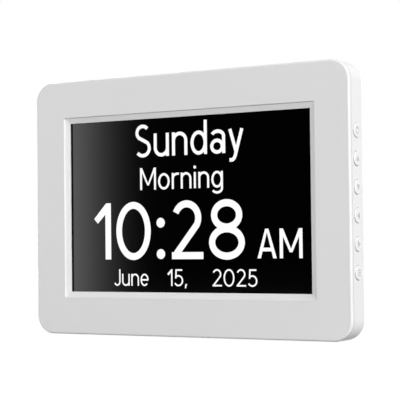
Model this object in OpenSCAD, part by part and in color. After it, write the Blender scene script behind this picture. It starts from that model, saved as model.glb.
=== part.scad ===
// Day clock: a white slab case with a bevelled display window, six buttons on its right side,
// a raised back with a fold-out stand, two keyholes, a speaker grille, and the works inside.
// +X is to the right as seen from the front, +Y runs from the front to the back, +Z is up.
// Depths are measured backwards from the front face. Millimetres.

/* [Case] */
// Width of the case
body_w = 226; // [212:0.5:250]
// Height of the case
body_h = 163; // [152:0.5:190]
// Depth of the rim, from the front face to the flat back of the rim
rim_depth = 17.2; // [16.4:0.1:19]
// Radius of the case's corners, seen from the front
corner_r = 12; // [9:0.5:16]
// Wall thickness of both shells
wall = 2; // [1.8:0.1:2.2]
// Rounding of the front edge
front_round = 1.2; // [0.6:0.1:1.5]
// Rounding of the rim's rear edge
rim_round = 1; // [0.5:0.1:2.2]
// Depth of the front shell's edge, up to the parting line
parting_depth = 2.25; // [2.05:0.05:3]
// Width of the parting line's groove
parting_gap = 0.3; // [0.1:0.05:0.4]
// Thickness of the tongue that enters the rear shell
tongue_t = 1.4; // [1:0.1:1.8]
// How far the tongue reaches behind the parting line
tongue_reach = 2.6; // [1.5:0.1:3]
// Clearance between pieces that fit into each other
fit_gap = 0.15; // [0.1:0.05:0.25]

/* [Raised back] */
// Distance from each side of the case to the raised back
hump_inset = 25; // [18:0.5:30]
// Distance from the case's top down to the raised back
hump_drop = 21; // [17:0.5:27]
// How far the raised back stands behind the rim
hump_rise = 7.3; // [6.8:0.1:12]
// Corner radius of the raised back
hump_corner_r = 12; // [6:1:16]
// Rounding of the raised back's rear edge
hump_round = 2.5; // [1:0.5:3]

/* [Window] */
// Width of the case's border left and right of the window
side_border = 26.2; // [24:0.1:32]
// Height of the case's border above and below the window
top_border = 27.2; // [25:0.1:34]
// Width of the sloping bevel round the window
bevel_w = 3.8; // [3:0.1:4.6]
// Depth of the bevel at its inner edge
bevel_depth = 1.9; // [1.2:0.1:2.2]
// Width of the steep step at the bevel's outer edge
step_w = 0.55; // [0.1:0.05:0.7]
// Depth of that step
step_depth = 0.9; // [0.2:0.1:1.2]
// Corner radius of the bevel's outer edge
bevel_corner_r = 1; // [0.5:0.1:2]
// Thickness of the lip at the window's inner edge
lip_t = 0.6; // [0.5:0.1:1.4]
// Thickness of the foam gasket between lip and glass
gasket_t = 0.8; // [0.5:0.1:2]
// How far the gasket stays back from the window's edge
gasket_inset = 0.5; // [0.2:0.1:1]
// Thickness of the ribs and bosses inside the front shell
rib_t = 1.4; // [1.2:0.1:1.8]

/* [Display module] */
// How far the display module's steel pan reaches past the window at each side
pan_lap_w = 5.2; // [4:0.1:6]
// How far the pan reaches past the window above and below
pan_lap_h = 3.2; // [2.5:0.1:4.5]
// Sheet thickness of the pan
pan_t = 0.4; // [0.3:0.05:0.6]
// Thickness of the liquid crystal cell
cell_t = 1.2; // [0.8:0.1:1.6]
// Thickness of the diffuser sheets
diffuser_t = 0.4; // [0.2:0.1:0.6]
// Thickness of the light guide
guide_t = 1.6; // [1.2:0.1:2]
// Width of the light strip below the light guide
strip_h = 1.2; // [0.8:0.1:2]
// Gap between the pan's walls and what lies in it
pan_gap = 0.6; // [0.3:0.1:1]
// Distance of the clips that hold the pan from its upper and lower edges
clip_inset = 35.5; // [31:0.5:40]
// Sheet thickness of the clips
clip_t = 0.8; // [0.6:0.1:1]
// Height of a clip
clip_h = 8; // [6:0.5:9]
// Diameter of the clip screws' shanks
clip_screw_d = 2; // [1.6:0.1:2.3]

/* [Buttons] */
// Depth of the buttons' middle behind the front face
button_depth = 9.1; // [8.6:0.1:9.4]
// Number of buttons on the right side
button_count = 6; // [4:1:6]
// Distance from one button to the next
button_pitch = 16.5; // [14:0.5:18]
// Diameter of a button's cap
cap_d = 8.6; // [7:0.1:9]
// Gap round a cap in its hole
cap_gap = 0.25; // [0.15:0.05:0.25]
// How far a cap stands proud of the side
cap_proud = 0.65; // [0.3:0.05:1]
// Rounding of a cap's rim
cap_round = 0.5; // [0.2:0.05:1]
// Travel of a button
button_travel = 0.5; // [0.3:0.05:0.55]
// Middle of the row of buttons above the middle of the case
button_row_offset = -0.8; // [-3:0.1:3]
// Height of the raised signs on the caps
sign_t = 0.12; // [0.05:0.01:0.2]
// Side of a switch's square body
switch_side = 6; // [5:0.1:6.5]
// Height of a switch's body above its board
switch_t = 3.4; // [3:0.1:3.8]

/* [Stand] */
// Width of the stand's leg
leg_w = 38; // [30:1:44]
// Thickness of the leg
leg_t = 3.6; // [3.2:0.1:4]
// Distance from the top of the raised back down to the hinge
hinge_drop = 54; // [46:1:60]
// Gap under the leg's tip when it is folded
leg_tip_gap = 1; // [0.6:0.1:2]
// Gap beside the leg in its recess
leg_side_gap = 1; // [0.6:0.1:1.5]
// Radius of the hinge barrel
barrel_r = 2.4; // [2.2:0.1:2.6]
// Radius of the hinge pin
pin_r = 1; // [0.8:0.1:1.2]
// Running clearance between pin and barrel
pin_clearance = 0.05; // [0.02:0.01:0.08]
// Angle at which the open leg stops
leg_open_deg = 26; // [20:1:30]
// Radius of the finger scoop beside the leg
scoop_r = 8; // [6:0.5:8.5]
// Height of the finger scoop above the case's bottom
scoop_z = 40; // [36:1:50]
// Height of the rubber pad at the leg's tip
pad_h = 4; // [3:0.1:5]
// Width of the rubber pad at the leg's tip
pad_w = 22; // [16:1:26]

/* [Back openings] */
// Distance between the two keyholes
keyhole_spacing = 120; // [100:1:130]
// Distance from the top of the raised back down to the keyholes' round holes
keyhole_drop = 26; // [24:1:30]
// Radius of a keyhole's round hole
keyhole_r = 4; // [3.5:0.1:4.5]
// Radius of a keyhole's slot
keyhole_slot_r = 2.1; // [1.8:0.1:2.4]
// Length of a keyhole's slot
keyhole_slot = 9; // [7:0.5:10]
// Number of vent slots
vent_count = 13; // [7:2:15]
// Distance from one vent slot to the next
vent_pitch = 6; // [5:0.5:7]
// Width of a vent slot
vent_w = 2; // [1:0.1:2.5]
// Length of a vent slot
vent_h = 14; // [8:1:15]
// Height of the vents' middle above the keyholes' round holes
vent_rise = 4; // [2:0.5:6]
// Radius of the speaker's grille
grille_r = 11; // [8:0.5:12]
// Distance between the grille's holes
grille_pitch = 3; // [2.6:0.1:4]
// Diameter of the grille's holes
grille_hole_d = 1.7; // [1.2:0.1:2]
// Width of the blank label
label_w = 40; // [30:1:44]
// Height of the blank label
label_h = 28; // [20:1:34]
// Distance from the label's edge to the side of the raised back
label_inset = 8; // [6:0.5:14]
// Height of the label's middle above the case's bottom
label_z = 40; // [30:1:60]

/* [Feet and screws] */
// Diameter of the rubber feet
foot_d = 6; // [5:0.1:6.4]
// How far the feet stand below the case
foot_proud = 0.4; // [0.2:0.1:0.8]
// How deep the feet are set into the case
foot_sink = 1; // [0.6:0.1:1.2]
// Distance between the left and right feet
foot_spacing = 144; // [100:1:150]
// Depth of the front feet's middle behind the front face
foot_depth = 9.6; // [9:0.1:10]
// Diameter of the case screws' shanks
screw_d = 2.6; // [2.2:0.1:3]
// Diameter of the case screws' heads
screw_head_d = 5.2; // [4.4:0.1:5.6]
// Height of the case screws' heads
screw_head_t = 1.8; // [1.4:0.1:2]

/* [Electronics] */
// Width of the main board
board_w = 116; // [106:1:130]
// Height of the main board
board_h = 62; // [58:1:66]
// Thickness of the circuit boards
board_t = 1.6; // [1.2:0.1:1.6]
// Height of the main board's lower edge above the case's bottom
board_z = 38; // [36:1:42]
// Gap between the display module and the main board
board_gap = 2.3; // [2.2:0.1:3]
// Distance of the main board's screws from its edges
board_screw_inset = 4; // [3.5:0.1:5]
// Side of the processor
processor_side = 14; // [10:0.5:15]
// Width of the memory chip
memory_w = 8; // [6:0.5:9]
// Height of the memory chip
memory_h = 12; // [8:0.5:13]
// Diameter of the capacitors
capacitor_d = 6.3; // [5:0.1:7]
// Length of the capacitors
capacitor_h = 5.4; // [4:0.1:6]
// Side of the inductor
inductor_side = 7; // [5:0.1:8]
// Width of the display's ribbon
ribbon_w = 20; // [14:0.5:24]
// Thickness of the display's ribbon
ribbon_t = 0.2; // [0.1:0.05:0.3]
// Thickness of the cable between the button board and the main board
cable_t = 1; // [0.8:0.1:1.2]
// Thickness of the supply wires
supply_wire_t = 1.2; // [0.8:0.1:1.4]
// Thickness of the speaker's wires
speaker_wire_t = 0.9; // [0.6:0.1:1]
// Diameter of the speaker
speaker_d = 28; // [26:0.5:32]
// Height of the speaker's middle above the case's bottom
speaker_z = 74; // [60:1:80]
// Distance from the speaker's middle to the side of the raised back
speaker_inset = 26; // [24:0.5:30]
// Diameter of the backup cell
cell_d = 20; // [16:1:20]
// Thickness of the backup cell
cell_h = 3.2; // [2:0.1:3.2]
// Height of the power socket above the case's bottom
socket_z = 32; // [28:1:36]
// Radius of the power socket's bore
socket_r = 2.8; // [2.6:0.1:3]
// Radius of the power socket's centre pin
socket_pin_r = 1; // [0.6:0.1:1.2]

/* [Hidden] */
$fn = 64;

// Colours of the materials
shell_white = [0.93, 0.93, 0.93];
cap_white = [0.95, 0.95, 0.95];
screen_black = [0.02, 0.02, 0.02];
foam_black = [0.06, 0.06, 0.06];
rubber_grey = [0.35, 0.35, 0.36];
board_green = [0.05, 0.3, 0.16];
chip_black = [0.08, 0.08, 0.09];
steel = [0.7, 0.7, 0.72];
gold = [0.8, 0.62, 0.25];
clear_white = [0.85, 0.88, 0.9];
ribbon_orange = [0.75, 0.4, 0.12];
wire_red = [0.7, 0.08, 0.06];

// Overall places
body_depth = rim_depth + hump_rise;
front_y = -body_depth / 2;
base_z = foot_proud;
mid_z = base_z + body_h / 2;
inner_x = body_w / 2 - wall;
hump_w = body_w - 2 * hump_inset;
hump_h = body_h - hump_drop;
hump_top = base_z + hump_h;
window_w = body_w - 2 * side_border;
window_h = body_h - 2 * top_border;
pan_w = window_w + 2 * pan_lap_w;
pan_h = window_h + 2 * pan_lap_h;
cut = 0.5; // how far a cut runs past a surface
sink = 0.1; // how far joined shapes run into each other

// Depth stack, from the front face backwards
rear_start = parting_depth + parting_gap;
lip_back = bevel_depth + lip_t;
glass_depth = lip_back + gasket_t;
diffuser_depth = glass_depth + cell_t;
guide_depth = diffuser_depth + diffuser_t;
pan_floor_depth = guide_depth + guide_t;
sheet_inset = pan_gap + 0.4;
pan_back_depth = pan_floor_depth + pan_t;
rim_inner_depth = rim_depth - wall;
hump_inner_depth = body_depth - wall;

strip_bottom = mid_z - pan_h / 2 + pan_t + sheet_inset;

// Stand
hinge_height = hump_top - hinge_drop;
leg_back = body_depth - 0.3;
leg_front = leg_back - leg_t;
hinge_depth = leg_back - barrel_r;
recess_gap = 0.3;
recess_floor = hinge_depth - barrel_r - recess_gap;
recess_wall = 1.6;
recess_w = leg_w + 2 * leg_side_gap;
heel_t = 1.8;
pad_t = 2.2;
heel_offset = barrel_r - heel_t;
stop_gap = 0.15;
heel_reach = (heel_offset * cos(leg_open_deg) + hinge_depth - recess_floor - stop_gap) / sin(leg_open_deg);
heel_gap = 1;
recess_top = hinge_height + heel_reach + heel_gap;
recess_bottom = base_z + wall;
leg_tip_z = recess_bottom + leg_tip_gap;
pin_len = 3.2; // length of the pin's seat at each side
pin_end_gap = 0.2;
pin_half = recess_w / 2 + pin_len;
pin_block = 4; // half height of the blocks that hold the pin
scoop_height = base_z + scoop_z;

// Buttons
row_z = mid_z + button_row_offset;
function button_z(i) = row_z + (button_count - 1) / 2 * button_pitch - i * button_pitch;
flange_t = 0.9;
flange_d = cap_d + 2.4;
flange_x = inner_x - fit_gap - flange_t;
stem_r = 1.5;
stem_len = 0.9;
plunger_tip_x = flange_x - stem_len;
plunger_r = 1.7;
plunger_sunk = 0.6; // how far a plunger stands in its switch at rest
plunger_len = plunger_sunk + button_travel + 0.3;
switch_face_x = plunger_tip_x - plunger_len + plunger_sunk;
switch_well = plunger_sunk + button_travel + 0.3;
button_board_x = switch_face_x - switch_t - board_t;
side_board_w = 8.4;
board_end = 8.5; // from the last button to the end of the button board
button_board_h = (button_count - 1) * button_pitch + 2 * board_end;
guide_wall = 1.8;

// Screws that hold the two shells together: [x, z]
screw_inset = 10.5;
top_screw_x = 44;
screw_places = concat(
  [for (sx = [-1, 1], sz = [-1, 1])
    [sx * (body_w / 2 - screw_inset), mid_z + sz * (body_h / 2 - screw_inset)]],
  [for (sx = [-1, 1]) [sx * top_screw_x, mid_z + body_h / 2 - screw_inset]]);
boss_meet = 9; // depth at which the front bosses meet the rear tubes
boss_r = 3.3;
tube_r = 4.2;
screw_seat = rim_depth - screw_head_t - 0.2;
screw_tip = 4.5;
thread_fit = 0.05; // a screw's hole is wider than its shank by this, all round

// Display clips: [side, z]
clip_places = [for (sx = [-1, 1], sz = [-1, 1]) [sx, mid_z + sz * (pan_h / 2 - clip_inset)]];
clip_boss_x = pan_w / 2 + 5;
clip_boss_r = 2.6;
clip_lap = 4; // how far a clip reaches over the pan
clip_end = 3; // how far it reaches past its screw
clip_screw_head_d = 3.8;
clip_screw_head_t = 1.2;

// Blank label
label_x = hump_w / 2 - label_inset - label_w / 2;
label_bed = 0.3;

// Main board
board_bottom = base_z + board_z;
board_mid_z = board_bottom + board_h / 2;
board_depth = pan_back_depth + board_gap;
board_back = board_depth + board_t;
board_screws = [for (sx = [-1, 1], sz = [-1, 1])
  [sx * (board_w / 2 - board_screw_inset), board_mid_z + sz * (board_h / 2 - board_screw_inset)]];
board_screw_d = 2;
board_screw_head_d = 4;
board_screw_head_t = 1.3;
board_screw_len = 5;
pillar_r = 3;
part_gap = 5; // between neighbouring parts on the board
processor_x = -4;
processor_z = 6;
memory_x = processor_x + processor_side / 2 + part_gap + memory_w / 2;
memory_z = processor_z + 2;
flash_w = 6;
flash_h = 5;
driver_w = 8;
driver_h = 6;
driver_inset_x = 20; // from the board's edges to the display driver
driver_inset_z = 6;
capacitor_inset_x = 22;
capacitor_inset_z = 11;
inductor_inset_x = 16;
inductor_inset_z = 25;
crystal_w = 5;
crystal_h = 3.2;
landing = 6; // how far a cable or wire lies on the board
holder_wall = 1.4;
holder_floor = 0.8;
cell_x = board_w / 2 - landing - 2.6 - holder_wall - cell_d / 2;
cell_z = board_mid_z - 2;
connector_inset = 2;
connector_h = 4;
ribbon_flat = 8; // how far the ribbon lies flat on the pan
ribbon_drop = 2.5; // how far its bend hangs below the board

// Speaker
speaker_x = hump_w / 2 - speaker_inset;
speaker_height = base_z + speaker_z;
speaker_gasket_t = 0.8;
speaker_frame_t = 3;
speaker_back = hump_inner_depth - speaker_gasket_t;
speaker_front = speaker_back - speaker_frame_t;
magnet_t = 3;
magnet_r = 8;
basket_wall = 1.6;
basket_floor = 0.8;

// Power socket
socket_height = base_z + socket_z;
socket_depth = button_depth;
socket_len = 12;
socket_bore = 9; // depth of the bore behind the wall
socket_body_w = 8;
socket_body_h = 9;
socket_face_x = inner_x - fit_gap;
socket_nose_r = 3.7;
power_board_x = socket_face_x - socket_len - board_t;
power_board_h = 32;
power_board_z = socket_height + 3;
supply_z = board_bottom + board_screw_inset + pillar_r + 1;

// ---------- helpers ----------

// A solid from depth d0 to depth d1 whose outline is drawn as X and Z
module plate(d0, d1) {
  translate([0, front_y + d1, 0]) rotate([90, 0, 0]) linear_extrude(d1 - d0) children();
}

// A rectangle with round corners, about the origin
module rounded_rect(w, h, r) {
  square([w - 2 * r, h], center = true);
  square([w, h - 2 * r], center = true);
  for (sx = [-1, 1], sy = [-1, 1]) translate([sx * (w / 2 - r), sy * (h / 2 - r)]) circle(r);
}

// A section of the given length and thickness, its lower corners rounded by low and its upper ones by high
module edge_section(len, t, low, high) {
  intersection() {
    translate([-len / 2, 0]) square([len, t]);
    union() {
      translate([-len / 2, low]) square([len, t - low - high]);
      for (side = [-1, 1]) {
        if (low > 0) translate([side * (len / 2 - low), low]) circle(low);
        if (high > 0) translate([side * (len / 2 - high), t - high]) circle(high);
      }
      if (low > 0) translate([-len / 2 + low, 0]) square([len - 2 * low, low]);
      if (high > 0) translate([-len / 2 + high, t - high]) square([len - 2 * high, high]);
    }
  }
}

// A slab with round corners and rounded edges, lying on z = 0
module round_slab(w, h, r, t, low, high) {
  for (sx = [-1, 1], sy = [-1, 1]) translate([sx * (w / 2 - r), sy * (h / 2 - r), 0])
    rotate_extrude() intersection() {
      edge_section(2 * r, t, low, high);
      square([r, t]);
    }
  rotate([90, 0, 90]) translate([0, 0, -w / 2 + r]) linear_extrude(w - 2 * r)
    edge_section(h, t, low, high);
  rotate([90, 0, 0]) translate([0, 0, -h / 2 + r]) linear_extrude(h - 2 * r)
    edge_section(w, t, low, high);
}

// The same slab stood up between two depths, about height z
module upright_slab(w, h, r, d0, d1, z, front = 0, rear = 0) {
  translate([0, front_y + d1, z]) rotate([90, 0, 0]) round_slab(w, h, r, d1 - d0, rear, front);
}

// A block by its limits in x, depth and z
module block(x0, x1, d0, d1, z0, z1) {
  translate([x0, front_y + d0, z0]) cube([x1 - x0, d1 - d0, z1 - z0]);
}

// A cylinder along the depth
module depth_rod(x, z, r, d0, d1) {
  translate([x, front_y + d1, z]) rotate([90, 0, 0]) cylinder(r = r, h = d1 - d0);
}

// A cylinder along X
module cross_rod(depth, z, r, x0, x1) {
  translate([x0, front_y + depth, z]) rotate([0, 90, 0]) cylinder(r = r, h = x1 - x0);
}

// A screw along the depth: pan head at its rear, with a cross recess
module pan_screw(x, z, head_d, head_t, shank_d, seat, tip) {
  difference() {
    union() {
      depth_rod(x, z, head_d / 2, seat, seat + head_t);
      depth_rod(x, z, shank_d / 2, tip, seat);
    }
    for (size = [[head_d * 0.56, head_d * 0.15], [head_d * 0.15, head_d * 0.56]])
      block(x - size[0] / 2, x + size[0] / 2, seat + head_t * 0.45, seat + head_t + cut,
        z - size[1] / 2, z + size[1] / 2);
  }
}

// A line of thickness t through points
module path(points, t) {
  for (i = [0 : len(points) - 2]) {
    from = points[i];
    run = points[i + 1] - from;
    translate(from) rotate(atan2(run[1], run[0])) translate([0, -t / 2]) square([norm(run), t]);
    if (i > 0) translate(from) circle(t / 2);
  }
}

// A flat ribbon about x, w wide and t thick, through points given as [depth, z]
module ribbon(points, x, w, t) {
  translate([x - w / 2, front_y, 0]) rotate([90, 0, 90]) linear_extrude(w) path(points, t);
}

// A wire of thickness t at height z, through points given as [x, depth]
module wire(points, z, t) {
  translate([0, front_y, z - t / 2]) linear_extrude(t) path(points, t);
}

// ---------- shells ----------

// The bevelled window, as the solid that is cut from the front shell
module window_cut() {
  outer_w = window_w / 2 + bevel_w;
  outer_h = window_h / 2 + bevel_w;
  module flare(half_in, half_out)
    polygon([
      [-half_out, -cut], [half_out, -cut], [half_out, 0],
      [half_out - step_w, step_depth], [half_in, bevel_depth], [half_in, lip_back + cut],
      [-half_in, lip_back + cut], [-half_in, bevel_depth], [-half_out + step_w, step_depth],
      [-half_out, 0]
    ]);
  intersection() {
    translate([0, front_y, mid_z - outer_h - cut]) linear_extrude(2 * (outer_h + cut))
      flare(window_w / 2, outer_w);
    translate([outer_w + cut, front_y, mid_z]) rotate([0, -90, 0])
      linear_extrude(2 * (outer_w + cut)) flare(window_h / 2, outer_h);
    plate(-cut, lip_back + cut) translate([0, mid_z])
      rounded_rect(2 * outer_w, 2 * outer_h, bevel_corner_r);
  }
}

// Ribs that hold the corners of the display module's pan
module pan_ribs() {
  rib_len = 16;
  rib_back = pan_back_depth - 0.6;
  inner_w = pan_w / 2 + fit_gap;
  inner_h = pan_h / 2 + fit_gap;
  for (sx = [-1, 1], sz = [-1, 1]) translate([0, 0, mid_z]) mirror([sx < 0 ? 1 : 0, 0, 0])
    mirror([0, 0, sz < 0 ? 1 : 0]) {
      block(inner_w, inner_w + rib_t, wall, rib_back, inner_h - rib_len, inner_h + rib_t);
      block(inner_w - rib_len, inner_w + rib_t, wall, rib_back, inner_h, inner_h + rib_t);
    }
}

module front_frame() {
  ring = bevel_w + rib_t;
  tongue_w = body_w - 2 * wall - 2 * fit_gap;
  tongue_h = body_h - 2 * wall - 2 * fit_gap;
  tongue_r = corner_r - wall - fit_gap;
  tongue_back = rear_start + tongue_reach;
  key_clear = flange_d / 2 + 1.5;
  side_clear = 4;
  color(shell_white) difference() {
    union() {
      difference() {
        union() {
          upright_slab(body_w, body_h, corner_r, 0, parting_depth, mid_z, front = front_round);
          plate(parting_depth - sink, tongue_back) translate([0, mid_z])
            rounded_rect(tongue_w, tongue_h, tongue_r);
        }
        plate(wall, tongue_back + cut) translate([0, mid_z])
          rounded_rect(tongue_w - 2 * tongue_t, tongue_h - 2 * tongue_t, tongue_r - tongue_t);
      }
      plate(wall - sink, lip_back) translate([0, mid_z])
        square([window_w + 2 * ring, window_h + 2 * ring], center = true);
      pan_ribs();
      for (p = screw_places) depth_rod(p[0], p[1], boss_r, wall - sink, boss_meet);
      for (p = clip_places)
        depth_rod(p[0] * clip_boss_x, p[1], clip_boss_r, wall - sink, pan_back_depth);
    }
    window_cut();
    for (p = screw_places)
      depth_rod(p[0], p[1], screw_d / 2 + thread_fit, screw_tip - 0.5, boss_meet + cut);
    for (p = clip_places)
      depth_rod(p[0] * clip_boss_x, p[1], clip_screw_d / 2 + thread_fit, wall + 0.6,
        pan_back_depth + cut);
    // room for the buttons and for the power socket behind the tongue
    block(inner_x - side_clear, inner_x + cut, parting_depth, tongue_back + cut,
      button_z(button_count - 1) - key_clear, button_z(0) + key_clear);
    block(-inner_x - cut, -inner_x + side_clear, parting_depth, tongue_back + cut,
      socket_height - socket_body_h, socket_height + socket_body_h);
  }
}

module keyhole(x) {
  depth_rod(x, hump_top - keyhole_drop, keyhole_r, hump_inner_depth - cut, body_depth + cut);
  plate(hump_inner_depth - cut, body_depth + cut) translate([x, hump_top - keyhole_drop]) {
    translate([-keyhole_slot_r, 0]) square([2 * keyhole_slot_r, keyhole_slot]);
    translate([0, keyhole_slot]) circle(keyhole_slot_r);
  }
}

module speaker_grille() {
  rows = floor(grille_r / grille_pitch);
  for (i = [-rows : rows], j = [-rows : rows]) {
    x = (i + j / 2) * grille_pitch;
    z = j * grille_pitch * sin(60);
    if (norm([x, z]) <= grille_r)
      depth_rod(-speaker_x + x, speaker_height + z, grille_hole_d / 2, hump_inner_depth - cut,
        body_depth + cut);
  }
}

module vents() {
  for (i = [0 : vent_count - 1])
    plate(hump_inner_depth - cut, body_depth + cut)
      translate([(i - (vent_count - 1) / 2) * vent_pitch, hump_top - keyhole_drop + vent_rise])
        rounded_rect(vent_w, vent_h, vent_w / 2 - 0.01);
}

// A block with a slot that holds one end of a side board; end is 1 for the upper end, -1 for the lower
module board_guide(board_x, end_z, end) {
  grip = 2.5;
  guide_start = button_depth + 0.9;
  slot_back = button_depth + side_board_w / 2 + fit_gap;
  translate([0, 0, end_z]) mirror([0, 0, end < 0 ? 1 : 0]) difference() {
    block(board_x - guide_wall, board_x + board_t + guide_wall, guide_start, rim_inner_depth + sink,
      -grip, fit_gap + guide_wall);
    block(board_x - fit_gap, board_x + board_t + fit_gap, guide_start - cut, slot_back, -grip - cut,
      fit_gap);
  }
}

module rear_housing() {
  mid_hump = base_z + hump_h / 2;
  recess_front = recess_floor - recess_wall;
  shell_back = hump_inner_depth + sink;
  collar_r = speaker_d / 2 + fit_gap;
  color(shell_white) difference() {
    union() {
      difference() {
        union() {
          upright_slab(body_w, body_h, corner_r, rear_start, rim_depth, mid_z, rear = rim_round);
          upright_slab(hump_w, hump_h, hump_corner_r, rim_inner_depth - wall, body_depth, mid_hump,
            rear = hump_round);
        }
        // hollow of the rim and of the raised back
        plate(rear_start - cut, rim_inner_depth) translate([0, mid_z])
          rounded_rect(2 * inner_x, body_h - 2 * wall, corner_r - wall);
        plate(rim_inner_depth - cut, hump_inner_depth) translate([0, mid_hump])
          rounded_rect(hump_w - 2 * wall, hump_h - 2 * wall, hump_corner_r - wall);
      }
      // walls of the stand's recess, and blocks that hold the hinge pin
      block(-recess_w / 2 - recess_wall, recess_w / 2 + recess_wall, recess_front, shell_back,
        recess_bottom - sink, recess_top + recess_wall);
      for (side = [-1, 1]) translate([side * (recess_w + pin_len + recess_wall) / 2, 0, 0])
        block(-(pin_len + recess_wall) / 2, (pin_len + recess_wall) / 2, hinge_depth - pin_block,
          shell_back, hinge_height - pin_block, hinge_height + pin_block);
      // wall round the finger scoop
      depth_rod(recess_w / 2, scoop_height, scoop_r + recess_wall, recess_front, shell_back);
      // tubes round the case screws
      for (p = screw_places) depth_rod(p[0], p[1], tube_r, boss_meet, rim_inner_depth + sink);
      // pillars under the main board
      for (p = board_screws) depth_rod(p[0], p[1], pillar_r, board_back, shell_back);
      // collar round the speaker
      difference() {
        depth_rod(-speaker_x, speaker_height, collar_r + 1.5, speaker_front, shell_back);
        depth_rod(-speaker_x, speaker_height, collar_r, speaker_front - cut, hump_inner_depth);
      }
      // guides for the two side boards
      for (end = [-1, 1]) {
        board_guide(button_board_x, row_z + end * button_board_h / 2, end);
        board_guide(-power_board_x - board_t, power_board_z + end * power_board_h / 2, end);
      }
    }
    // recess for the stand, with its finger scoop
    block(-recess_w / 2, recess_w / 2, recess_floor, body_depth + cut, recess_bottom, recess_top);
    depth_rod(recess_w / 2, scoop_height, scoop_r, recess_floor, body_depth + cut);
    cross_rod(hinge_depth, hinge_height, pin_r + 0.02, -pin_half, pin_half);
    for (side = [-1, 1]) keyhole(side * keyhole_spacing / 2);
    vents();
    speaker_grille();
    for (i = [0 : button_count - 1])
      cross_rod(button_depth, button_z(i), cap_d / 2 + cap_gap, inner_x - cut, body_w / 2 + cut);
    cross_rod(socket_depth, socket_height, socket_nose_r + fit_gap, -body_w / 2 - cut, -inner_x + cut);
    for (p = screw_places) {
      depth_rod(p[0], p[1], screw_d / 2 + 0.2, boss_meet - cut, rim_depth);
      depth_rod(p[0], p[1], screw_head_d / 2 + 0.3, screw_seat, rim_depth + cut);
    }
    for (p = board_screws)
      depth_rod(p[0], p[1], board_screw_d / 2 + thread_fit, board_back - cut, board_back + 6);
    for (p = foot_places())
      translate([p[0], front_y + p[1], base_z - cut])
        cylinder(d = foot_d + 2 * fit_gap, h = foot_sink + cut);
    // shallow bed of the blank label
    plate(body_depth - label_bed, body_depth + cut) translate([label_x, base_z + label_z])
      rounded_rect(label_w + 0.4, label_h + 0.4, 2.2);
  }
}

function foot_places() = [
  for (sx = [-1, 1], d = [foot_depth, body_depth - hump_round - foot_d / 2 - 0.8])
    [sx * foot_spacing / 2, d]
];

module rubber_feet() {
  color(rubber_grey) for (p = foot_places()) translate([p[0], front_y + p[1], 0])
    cylinder(d = foot_d, h = foot_proud + foot_sink);
}

module case_screws() {
  color(steel) for (p = screw_places)
    pan_screw(p[0], p[1], screw_head_d, screw_head_t, screw_d, screw_seat, screw_tip);
}

module rating_label() {
  color(steel) plate(body_depth - label_bed, body_depth - label_bed + 0.2)
    translate([label_x, base_z + label_z]) rounded_rect(label_w, label_h, 2);
}

// ---------- display ----------

module window_gasket() {
  gasket_edge = 1;
  color(foam_black) plate(lip_back, glass_depth) translate([0, mid_z]) difference() {
    square([pan_w - 2 * gasket_edge, pan_h - 2 * gasket_edge], center = true);
    square([window_w + 2 * gasket_inset, window_h + 2 * gasket_inset], center = true);
  }
}

// A sheet of the display module, inset from the pan's inner walls
module display_sheet(d0, d1, inset) {
  plate(d0, d1) translate([0, mid_z])
    square([pan_w - 2 * (pan_t + inset), pan_h - 2 * (pan_t + inset)], center = true);
}

module lcd_cell() {
  color(screen_black) display_sheet(glass_depth, diffuser_depth, pan_gap);
}

module diffuser_sheets() {
  color(clear_white) display_sheet(diffuser_depth, guide_depth, sheet_inset);
}

module light_guide() {
  color(clear_white) difference() {
    display_sheet(guide_depth, pan_floor_depth, sheet_inset);
    block(-pan_w / 2, pan_w / 2, guide_depth - cut, pan_floor_depth + cut, mid_z - pan_h / 2,
      strip_bottom + strip_h + 0.2);
  }
}

module light_strip() {
  strip_end = 8;
  color(clear_white) block(-pan_w / 2 + strip_end, pan_w / 2 - strip_end, guide_depth, pan_floor_depth,
    strip_bottom, strip_bottom + strip_h);
}

module lcd_pan() {
  color(steel) plate(glass_depth + 0.4, pan_back_depth) translate([0, mid_z]) difference() {
    square([pan_w, pan_h], center = true);
    square([pan_w - 2 * pan_t, pan_h - 2 * pan_t], center = true);
  }
  color(steel) plate(pan_floor_depth, pan_back_depth) difference() {
    translate([0, mid_z]) square([pan_w - pan_t, pan_h - pan_t], center = true);
    // slot through which the ribbon leaves the pan
    translate([0, board_bottom]) rounded_rect(ribbon_w + 10, 4, 1.9);
  }
}

module lcd_clips() {
  color(steel) for (p = clip_places) difference() {
    translate([0, 0, p[1]]) mirror([p[0] < 0 ? 1 : 0, 0, 0])
      block(pan_w / 2 - clip_lap, clip_boss_x + clip_end, pan_back_depth, pan_back_depth + clip_t,
        -clip_h / 2, clip_h / 2);
    depth_rod(p[0] * clip_boss_x, p[1], clip_screw_d / 2 + 0.15, pan_back_depth - cut,
      pan_back_depth + clip_t + cut);
  }
}

module lcd_clip_screws() {
  color(steel) for (p = clip_places)
    pan_screw(p[0] * clip_boss_x, p[1], clip_screw_head_d, clip_screw_head_t, clip_screw_d,
      pan_back_depth + clip_t, wall + 1.2);
}

// ---------- main board ----------

module main_board() {
  color(board_green) difference() {
    plate(board_depth, board_back) translate([0, board_mid_z]) rounded_rect(board_w, board_h, 2);
    for (p = board_screws)
      depth_rod(p[0], p[1], board_screw_d / 2 + 0.3, board_depth - cut, board_back + cut);
  }
}

module main_board_screws() {
  color(steel) for (p = board_screws)
    translate([0, 2 * (front_y + board_depth), 0]) mirror([0, 1, 0])
      pan_screw(p[0], p[1], board_screw_head_d, board_screw_head_t, board_screw_d, board_depth,
        board_depth - board_t - board_screw_len);
}

// A component on the rear of the main board, by its middle, size and height
module component(x, z, w, h, t) {
  block(x - w / 2, x + w / 2, board_back, board_back + t, board_mid_z + z - h / 2,
    board_mid_z + z + h / 2);
}

module processor() {
  color(chip_black) component(processor_x, processor_z, processor_side, processor_side, 1.4);
}

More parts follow.
